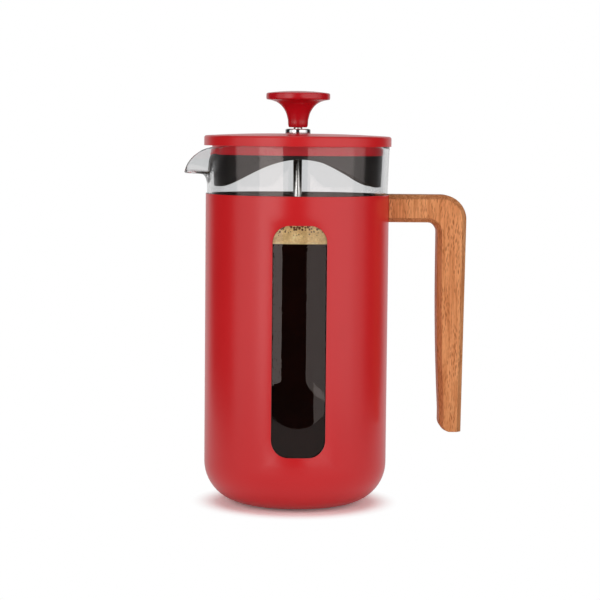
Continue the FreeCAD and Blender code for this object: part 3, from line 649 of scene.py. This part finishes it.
def lip_height(across, rim):
    """Height of the spout's lip at a distance from the axis along X."""
    middle = SPOUT_REACH + LIP_PAST_TIP - LIP_ARC
    if across <= middle:
        slide = min(1.0, max(0.0, (across - (middle - LIP_EASE)) / LIP_EASE))
        drop = rim - (LIP_ARC_CENTRE + LIP_ARC)
        return rim - drop * slide * slide * (3 - 2 * slide)
    return LIP_ARC_CENTRE + math.sqrt(max(0.0, LIP_ARC ** 2 - (across - middle) ** 2))


def beaker_angles():
    """Angles round the glass from the spout's middle, closer together near the spout."""
    hair = 1e-6
    angles = []
    angle = -SPOUT_SPREAD
    while angle < SPOUT_SPREAD - hair:
        angles.append(angle)
        angle += FINE_STEP
    while angle < TAU - SPOUT_SPREAD - hair:
        angles.append(angle)
        angle += WIDE_STEP
    return angles


def glass_beaker():
    """Glass drawn as one column of points for each angle round it."""
    foot, rim = foot_of("glass_beaker"), top_of("glass_beaker")
    angles = beaker_angles()
    bend_steps, wall_steps, spout_steps, channel_steps = 12, 12, 8, 8
    hair = 0.02 * MM

    def outer(z):
        share = max(0.0, (z - FLARE_START) / (rim - FLARE_START))
        return GLASS_R + (GLASS_RIM_R - GLASS_R) * share

    def inner(z):
        return outer(z) - GLASS_WALL

    bend = foot + GLASS_CORNER
    outside = []
    for step in range(bend_steps + 1):
        turn = math.pi / 2 * step / bend_steps
        outside.append((GLASS_R - GLASS_CORNER + GLASS_CORNER * math.sin(turn),
                        bend - GLASS_CORNER * math.cos(turn)))
    for step in range(1, wall_steps + 1):
        outside.append((GLASS_R, bend + (FLARE_START - bend) * step / wall_steps))
    inner_corner = GLASS_CORNER - GLASS_WALL
    inner_bend = foot + GLASS_FLOOR + inner_corner
    vertices, columns = [], []
    for angle in angles:
        in_spout = abs(angle) < SPOUT_SIDE

        def reach(height):
            return max(0.0, spout_plan(angle, 0.0, height) - outer(height)) if in_spout else 0.0

        def reach_in(height):
            if not in_spout:
                return 0.0
            return max(0.0, spout_plan(angle, SPOUT_WALL, height) - inner(height))

        lip = rim
        if in_spout:
            # The lip lies where the wall at this angle meets the lip's side view.
            for _ in range(24):
                across = (outer(lip) + reach(lip)) * math.cos(angle)
                lip = (lip + max(lip_height(across, rim), SPOUT_TIP_HEIGHT)) / 2
        line = list(outside)
        for share, height in SPOUT_UNDER:
            z = height * MM
            line.append((outer(z) + share * reach(z), z))
        last = SPOUT_UNDER[-1][1] * MM
        for step in range(1, spout_steps + 1):
            z = last + (lip - GLASS_EDGE_ROUND - last) * step / spout_steps
            line.append((outer(z) + reach(z), z))
        edge_out = line[-1][0]
        z = lip - GLASS_EDGE_ROUND
        edge_in = inner(z) + reach_in(z)
        gap = edge_out - edge_in
        for turn in (0.12, 0.3, 0.5, 0.7, 0.88):
            rise = math.sin(math.pi * turn)
            line.append((edge_out - gap * (1 - math.cos(math.pi * turn)) / 2,
                         z + GLASS_EDGE_ROUND * rise))
        side_low = min(CHANNEL_FLOOR, lip - CHANNEL_DEPTH) + CHANNEL_DEPTH
        for step in range(channel_steps):
            if z > side_low:
                height = z + (side_low - z) * step / (channel_steps - 1)
            else:
                height = z - hair * step
            line.append((inner(height) + reach_in(height), height))
        low_start = min(line[-1][1], side_low)
        for share, drop in SPOUT_CHANNEL:
            height = low_start - drop * MM
            line.append((inner(height) + share * reach_in(height), height))
        start = line[-1][1]
        for step in range(1, wall_steps + 1):
            height = start + (inner_bend - start) * step / wall_steps
            line.append((inner(height), height))
        for step in range(1, bend_steps + 1):
            turn = math.pi / 2 * step / bend_steps
            line.append((GLASS_R - GLASS_CORNER + inner_corner * math.cos(turn),
                         inner_bend - inner_corner * math.sin(turn)))
        column = []
        for radius, height in line:
            column.append(len(vertices))
            vertices.append(Vector((-radius * math.cos(angle), -radius * math.sin(angle),
                                    height)))
        columns.append(column)
    faces = []
    count = len(columns)
    for index, column in enumerate(columns):
        after = columns[(index + 1) % count]
        for low in range(len(column) - 1):
            faces.append((column[low], after[low], after[low + 1], column[low + 1]))
    bottom, floor_middle = len(vertices), len(vertices) + 1
    vertices.append(Vector((0, 0, foot)))
    vertices.append(Vector((0, 0, foot + GLASS_FLOOR)))
    for index, column in enumerate(columns):
        after = columns[(index + 1) % count]
        faces.append((column[0], bottom, after[0]))
        faces.append((column[-1], after[-1], floor_middle))
    return piece("beaker_glass", vertices, faces, "beaker", glass,
                 ["glass_beaker"], 60)


glass_beaker()


# ---------------------------------------------------------------- coffee and foam
def coffee():
    """Contents that ride with the beaker. They reach just into the glass, so no gap shows."""
    wall = GLASS_R - GLASS_WALL + CONTENTS_OVERLAP
    foot = foot_of("glass_beaker") + GLASS_FLOOR - CONTENTS_OVERLAP
    corner = GLASS_CORNER - GLASS_WALL
    outline = rounded([(0, foot, 0), (wall, foot, corner), (wall, COFFEE_LEVEL, 0),
                       (0, COFFEE_LEVEL, 0)], 10)
    vertices, faces = lathe(outline, closed=False)
    piece("coffee_body", vertices, faces, "beaker", coffee_look)
    foam_gap = 0.02 * MM
    start = COFFEE_LEVEL + foam_gap
    foam_steps = 12
    outline = [(FOAM_HOLE, start), (wall, start), (wall, FOAM_EDGE)]
    for step in range(1, foam_steps + 1):
        share = step / foam_steps
        radius = wall + (FOAM_HOLE - wall) * share
        rise = (FOAM_MIDDLE - FOAM_EDGE) * math.sin(math.pi / 2 * share)
        outline.append((radius, FOAM_EDGE - FOAM_DIP * math.sin(math.pi * share) + rise))
    vertices, faces = lathe(outline)
    piece("coffee_foam", vertices, faces, "beaker", foam_look)


coffee()


# ---------------------------------------------------------------- lid
def lid_dome():
    """Thin pressed cover: a shallow dome with a rounded shoulder."""
    radius, low, crown = radius_of("lid_cover"), foot_of("lid_cover"), top_of("lid_cover")
    shoulder_corner, inner_corner, lower_corner = 1.9 * MM, 1.3 * MM, 0.22 * MM
    start, steps = 8 * MM, 16
    dome = [(start + (radius - start) * step / steps, crown - LID_DROP * (step / steps) ** 2)
            for step in range(steps)]
    shoulder = crown - LID_DROP
    outline = rounded([
        (BUSH_HOLE, crown - LID_WALL, 0), (BUSH_HOLE, crown, 0),
        *[(r, z, 0) for r, z in dome],
        (radius, shoulder, shoulder_corner), (radius, low, lower_corner),
        (radius - LID_WALL, low, lower_corner),
        (radius - LID_WALL, shoulder - LID_WALL, inner_corner),
        *[(r, z - LID_WALL, 0) for r, z in reversed(dome)]], 8)
    vertices, faces = lathe(outline, 256)
    piece("lid_dome", vertices, faces, "lid", lid_paint, ["lid_cover"])


def lid_collar():
    """Ring inside the glass, with a flange over the glass's rim."""
    inside = 46.2 * MM
    band, flange = 46.6 * MM, radius_of("lid_collar")
    band_corner, flange_corner = 0.15 * MM, 0.3 * MM
    flange_drop = 1.2 * MM
    rim_gap = 0.3 * MM
    low, high = foot_of("lid_collar"), top_of("lid_collar")
    shelf = top_of("glass_beaker") + rim_gap
    outline = rounded([
        (inside, low, band_corner), (band, low, band_corner), (band, shelf, 0),
        (flange, shelf, flange_corner), (flange, high - flange_drop, flange_corner),
        (inside, high, 0)], 5)
    vertices, faces = lathe(outline, 192)
    piece("lid_collar_ring", vertices, faces, "lid", collar_red,
          ["lid_collar"])


def lid_skirt():
    """Black skirt whose lower edge rises in a wave at the front and at the back."""
    low, high = foot_of("lid_skirt"), top_of("lid_skirt")
    arch = 188.9 * MM
    lean_top = 190 * MM
    plate = high - 1.6 * MM
    wall = 1.2 * MM
    edge_band = 0.8 * MM
    outer_low, outer_high = 45.5 * MM, 46.2 * MM
    wave_half = math.radians(67)

    def edge_height(angle):
        off = abs((angle + math.pi / 2) % math.pi)
        off = min(off, math.pi - off)
        if off >= wave_half:
            return low
        return low + (arch - low) * (1 + math.cos(math.pi * off / wave_half)) / 2

    def shape(radius, height, angle):
        """Heights below 0 are shares of the way from the plate down to the wavy edge."""
        if height > 0:
            return radius, height
        share = -height
        if share > 0.5:
            edge = edge_height(angle)
            z = edge + (1 - share) * edge_band
        else:
            edge = edge_height(angle) + edge_band
            z = plate + (edge - plate) * share * 2
        lean = min(1.0, max(0.0, (z - low) / (lean_top - low)))
        return radius + (outer_low - outer_high) * (1 - lean), z

    inner = outer_high - wall
    small, large = 0.05 * MM, 0.25 * MM
    down = [-0.1 * step for step in range(1, 6)]
    outline = [(BUSH_HOLE, plate), (inner, plate)]
    outline += [(inner, share) for share in down]
    # The edge itself is rounded.
    outline += [(inner + small, -0.8), (inner + large, -0.97), (outer_high - wall / 2, -1.0),
                (outer_high - large, -0.97), (outer_high - small, -0.8)]
    outline += [(outer_high, share) for share in reversed(down)]
    outline += [(outer_high, high), (BUSH_HOLE, high)]
    vertices, faces = lathe(outline, 240, shape=shape)
    piece("lid_skirt_wave", vertices, faces, "lid", skirt_black,
          ["lid_skirt"])


lid_dome()
lid_collar()
lid_skirt()


# ---------------------------------------------------------------- bush, knob and rod
def bush():
    """Chromed guide bush, with a flange that rests on the lid."""
    low, high = foot_of("guide_bush"), top_of("guide_bush")
    radius = radius_of("guide_bush")
    crown = top_of("lid_cover") + 0.05 * MM
    bore, barrel = 2.46 * MM, 4.5 * MM
    outline = rounded([
        (bore, low, 0), (barrel, low, 0.4 * MM), (barrel, crown, 0),
        (radius, crown, 0.15 * MM), (radius, high, 0.8 * MM), (bore, high, 0.2 * MM)], 6)
    vertices, faces = lathe(outline, 128)
    piece("bush_collar", vertices, faces, "lid_hub", chrome, ["guide_bush"])


def knob():
    """Knob with a narrow neck and a wide flat head, bored from below for its insert."""
    low = foot_of("knob")
    hole, hole_top = 3.5 * MM, low + 10.2 * MM
    outline = [(hole, low), *[(r * MM, low + z * MM) for r, z in KNOB_OUTLINE],
               (0.0, hole_top), (hole, hole_top)]
    vertices, faces = lathe(outline, 128)
    piece("knob_turned", vertices, faces, "plunger", knob_red, ["knob"], 40)


def rod():
    """Polished rod with rounded ends."""
    low, high = foot_of("rod"), top_of("rod")
    radius = radius_of("rod")
    end_corner = 0.3 * MM
    outline = rounded([(0, low, 0), (radius, low, end_corner), (radius, high, end_corner),
                       (0, high, 0)], 4)
    vertices, faces = lathe(outline, 64, closed=False)
    piece("rod_polished", vertices, faces, "plunger", rod_chrome, ["rod"])


bush()
knob()
rod()


# ---------------------------------------------------------------- filter spring
def filter_coil():
    """Fine wire wound into a coil that runs round in a ring."""
    low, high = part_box("filter_spring")
    small = (high.z - low.z) / 2
    wire = 0.35 * MM
    ring = high.x - small
    middle = (high.z + low.z) / 2
    turns, steps, sides = 150, 12, 6
    vertices, faces = [], []
    count = turns * steps
    for step in range(count):
        along = TAU * step / count
        spin = TAU * step / steps
        spoke = Vector((math.cos(along), math.sin(along), 0))
        out = spoke * math.cos(spin) + Vector((0, 0, 1)) * math.sin(spin)
        centre = spoke * ring + out * (small - wire) + Vector((0, 0, middle))
        tangent = (Vector((-math.sin(along), math.cos(along), 0)) * ring * TAU / count
                   + (Vector((0, 0, 1)) * math.cos(spin) - spoke * math.sin(spin))
                   * (small - wire) * TAU / steps).normalized()
        side = tangent.cross(out)
        for corner in range(sides):
            turn = TAU * corner / sides
            vertices.append(centre + (out * math.cos(turn) + side * math.sin(turn)) * wire)
    for step in range(count):
        after = (step + 1) % count
        for corner in range(sides):
            beside = (corner + 1) % sides
            faces.append((step * sides + corner, step * sides + beside,
                          after * sides + beside, after * sides + corner))
    piece("filter_coil", vertices, faces, "plunger", coil_steel,
          ["filter_spring"], 80)


filter_coil()


# ---------------------------------------------------------------- floor, light and camera
# The table, in metres from the object's middle.
FLOOR_HALF = 12
TABLE_FRONT = -0.365
TABLE_SIDE = 0.36
# The table is shaded near the object's middle and shadeless farther out. A small share of
# the shadeless look is mixed in near the middle too.
SHADED_WITHIN = 0.04
SHADELESS_BEYOND = 0.058
SHADELESS_SHARE = 0.08
# Brightness of the shaded part, as the object sees it and as the camera does.
TABLE_GREY = 0.75
TABLE_EXPOSED = 1.5
# Brightness that the object sees in front of it and behind it, and where each is reached.
DIM_FRONT = 0.56
BRIGHT_BACK = 0.72
DIM_UP_TO = -0.25
BRIGHT_FROM = 0.5

# Softboxes: name, the two sides' bearings in degrees, foot, top, radiance.
SOFTBOX_DISTANCE = 1.1
SOFTBOXES = (
    ("left_key", -19.6, -50, -0.06, 0.95, 2.15),
    ("left_fill", -50, -84, -0.45, 0.95, 0.95),
    ("left_low", -33, -50, -0.45, -0.06, 2.0),
    ("right_key", 10.5, 72, -0.06, 0.95, 1.35),
    ("right_low", 20.4, 72, -0.45, -0.06, 1.35),
    ("right_fill", 72, 90, -0.45, 0.95, 0.7))
TOP_LIGHT_SIDE = 1.5
TOP_LIGHT_RADIANCE = 0.7
TOP_LIGHT_PLACE = (0, 0.1, 1.3)
# The room is dark but for its far wall. It fades in between these two Y of a direction.
ROOM_DARK = 0.03
ROOM_BRIGHT = 0.72
ROOM_FADE_START = 0.62
ROOM_FADE_STOP = 0.86

# The camera: its lens in mm, how it's turned in degrees, and where it stands.
LENS = 120.7
SENSOR = 36
CAMERA_YAW = -2.0
CAMERA_DOWN = 4.836
CAMERA_ROLL = 0.5465
CAMERA_PLACE = (1.99 * MM, -1099.62 * MM, 204.49 * MM)


def floor():
    """Table that looks white and endless, and is shaded only near the object."""
    size = FLOOR_HALF
    mesh = bpy.data.meshes.new("studio_floor")
    mesh.from_pydata([(-size, -size, 0), (size, -size, 0), (size, size, 0),
                      (-size, size, 0)], [], [(0, 1, 2, 3)])
    made = bpy.data.objects.new("studio_floor", mesh)
    bpy.context.scene.collection.objects.link(made)
    look = bpy.data.materials.new("studio_floor")
    look.use_nodes = True
    tree = look.node_tree
    tree.nodes.clear()
    place = tree.nodes.new("ShaderNodeTexCoord")
    length = tree.nodes.new("ShaderNodeVectorMath")
    length.operation = "LENGTH"
    tree.links.new(place.outputs["Object"], length.inputs[0])
    far = tree.nodes.new("ShaderNodeMapRange")
    far.interpolation_type = "SMOOTHSTEP"
    far.inputs["From Min"].default_value = SHADED_WITHIN
    far.inputs["From Max"].default_value = SHADELESS_BEYOND
    far.inputs["To Min"].default_value = SHADELESS_SHARE
    tree.links.new(length.outputs["Value"], far.inputs["Value"])
    near_look = tree.nodes.new("ShaderNodeBsdfDiffuse")
    path = tree.nodes.new("ShaderNodeLightPath")
    # The surface is a pale grey, which the camera's exposure turns to white.
    exposed = tree.nodes.new("ShaderNodeMapRange")
    exposed.inputs["To Min"].default_value = TABLE_GREY
    exposed.inputs["To Max"].default_value = TABLE_EXPOSED
    tree.links.new(path.outputs["Is Camera Ray"], exposed.inputs["Value"])
    tree.links.new(exposed.outputs["Result"], near_look.inputs["Color"])
    # The table is a little brighter behind the object than in front of it.
    split = tree.nodes.new("ShaderNodeSeparateXYZ")
    tree.links.new(place.outputs["Object"], split.inputs[0])
    behind = tree.nodes.new("ShaderNodeMapRange")
    behind.interpolation_type = "SMOOTHSTEP"
    behind.inputs["From Min"].default_value = DIM_UP_TO
    behind.inputs["From Max"].default_value = BRIGHT_FROM
    behind.inputs["To Min"].default_value = DIM_FRONT
    behind.inputs["To Max"].default_value = BRIGHT_BACK
    tree.links.new(split.outputs["Y"], behind.inputs["Value"])
    level = tree.nodes.new("ShaderNodeMath")
    level.operation = "MAXIMUM"
    tree.links.new(behind.outputs["Result"], level.inputs[0])
    tree.links.new(path.outputs["Is Camera Ray"], level.inputs[1])
    far_look = tree.nodes.new("ShaderNodeEmission")
    tree.links.new(level.outputs[0], far_look.inputs["Strength"])
    blend = tree.nodes.new("ShaderNodeMixShader")
    tree.links.new(far.outputs["Result"], blend.inputs["Fac"])
    tree.links.new(near_look.outputs[0], blend.inputs[1])
    tree.links.new(far_look.outputs[0], blend.inputs[2])
    # Reflections see a table's front and side edges. The camera sees white without an end.
    past_front = tree.nodes.new("ShaderNodeMath")
    past_front.operation = "LESS_THAN"
    past_front.inputs[1].default_value = TABLE_FRONT
    tree.links.new(split.outputs["Y"], past_front.inputs[0])
    aside = tree.nodes.new("ShaderNodeMath")
    aside.operation = "ABSOLUTE"
    tree.links.new(split.outputs["X"], aside.inputs[0])
    past_side = tree.nodes.new("ShaderNodeMath")
    past_side.operation = "GREATER_THAN"
    past_side.inputs[1].default_value = TABLE_SIDE
    tree.links.new(aside.outputs[0], past_side.inputs[0])
    past_edge = tree.nodes.new("ShaderNodeMath")
    past_edge.operation = "MAXIMUM"
    tree.links.new(past_front.outputs[0], past_edge.inputs[0])
    tree.links.new(past_side.outputs[0], past_edge.inputs[1])
    hidden = tree.nodes.new("ShaderNodeMath")
    hidden.operation = "SUBTRACT"
    hidden.use_clamp = True
    tree.links.new(past_edge.outputs[0], hidden.inputs[0])
    tree.links.new(path.outputs["Is Camera Ray"], hidden.inputs[1])
    gone = tree.nodes.new("ShaderNodeBsdfTransparent")
    table = tree.nodes.new("ShaderNodeMixShader")
    tree.links.new(hidden.outputs[0], table.inputs["Fac"])
    tree.links.new(blend.outputs[0], table.inputs[1])
    tree.links.new(gone.outputs[0], table.inputs[2])
    out = tree.nodes.new("ShaderNodeOutputMaterial")
    tree.links.new(table.outputs[0], out.inputs["Surface"])
    mesh.materials.append(look)


def softbox(name, start, stop, low, high, radiance):
    """Upright rectangular light between two points on the ground, facing the object."""
    start, stop = Vector(start), Vector(stop)
    width = (stop - start).length
    middle = (start + stop) / 2
    data = bpy.data.lights.new(name, "AREA")
    data.shape = "RECTANGLE"
    data.size = width
    data.size_y = high - low
    data.energy = radiance * math.pi * width * (high - low)
    made = bpy.data.objects.new(name, data)
    bpy.context.scene.collection.objects.link(made)
    made.location = (middle.x, middle.y, (low + high) / 2)
    along = (stop - start).normalized()
    out = Vector((along.y, -along.x, 0))
    if out.dot(Vector((middle.x, middle.y, 0))) < 0:
        out = -out
    up = Vector((0, 0, 1))
    made.rotation_euler = Matrix((up.cross(out), up, out)).transposed().to_euler()
    made.visible_camera = False
    return made


def on_ground(azimuth, distance):
    """Point at a bearing from the front, positive to the right."""
    turn = math.radians(azimuth)
    return (distance * math.sin(turn), -distance * math.cos(turn))


def light():
    """Softboxes round and above the object, in a room with a bright far wall."""
    for name, start, stop, low, high, radiance in SOFTBOXES:
        softbox("softbox_" + name, on_ground(start, SOFTBOX_DISTANCE),
                on_ground(stop, SOFTBOX_DISTANCE), low, high, radiance)
    data = bpy.data.lights.new("softbox_top", "AREA")
    data.shape = "SQUARE"
    data.size = TOP_LIGHT_SIDE
    data.energy = TOP_LIGHT_RADIANCE * math.pi * data.size ** 2
    made = bpy.data.objects.new("softbox_top", data)
    bpy.context.scene.collection.objects.link(made)
    made.location = TOP_LIGHT_PLACE
    made.visible_camera = False
    world = bpy.data.worlds.new("studio")
    bpy.context.scene.world = world
    world.use_nodes = True
    tree = world.node_tree
    back = tree.nodes["Background"]
    place = tree.nodes.new("ShaderNodeTexCoord")
    split = tree.nodes.new("ShaderNodeSeparateXYZ")
    tree.links.new(place.outputs["Generated"], split.inputs[0])
    side = tree.nodes.new("ShaderNodeMapRange")
    side.interpolation_type = "SMOOTHSTEP"
    side.inputs["From Min"].default_value = ROOM_FADE_START
    side.inputs["From Max"].default_value = ROOM_FADE_STOP
    side.inputs["To Min"].default_value = ROOM_DARK
    side.inputs["To Max"].default_value = ROOM_BRIGHT
    tree.links.new(split.outputs["Y"], side.inputs["Value"])
    path = tree.nodes.new("ShaderNodeLightPath")
    level = tree.nodes.new("ShaderNodeMath")
    level.operation = "MAXIMUM"
    tree.links.new(side.outputs["Result"], level.inputs[0])
    tree.links.new(path.outputs["Is Camera Ray"], level.inputs[1])
    tree.links.new(level.outputs[0], back.inputs["Strength"])
    back.inputs["Color"].default_value = (1, 1, 1, 1)


def camera():
    """Camera that stands where the photo's did."""
    data = bpy.data.cameras.new("camera")
    data.lens = LENS
    data.sensor_width = SENSOR
    made = bpy.data.objects.new("camera", data)
    bpy.context.scene.collection.objects.link(made)
    yaw = Matrix.Rotation(math.radians(CAMERA_YAW), 4, "Z")
    tilt = Matrix.Rotation(math.radians(90 - CAMERA_DOWN), 4, "X")
    roll = Matrix.Rotation(math.radians(CAMERA_ROLL), 4, "Z")
    place = Matrix.Translation(CAMERA_PLACE)
    made.matrix_world = yaw @ place @ tilt @ roll
    bpy.context.scene.camera = made


floor()
light()
camera()
bpy.context.scene.view_settings.view_transform = "Standard"
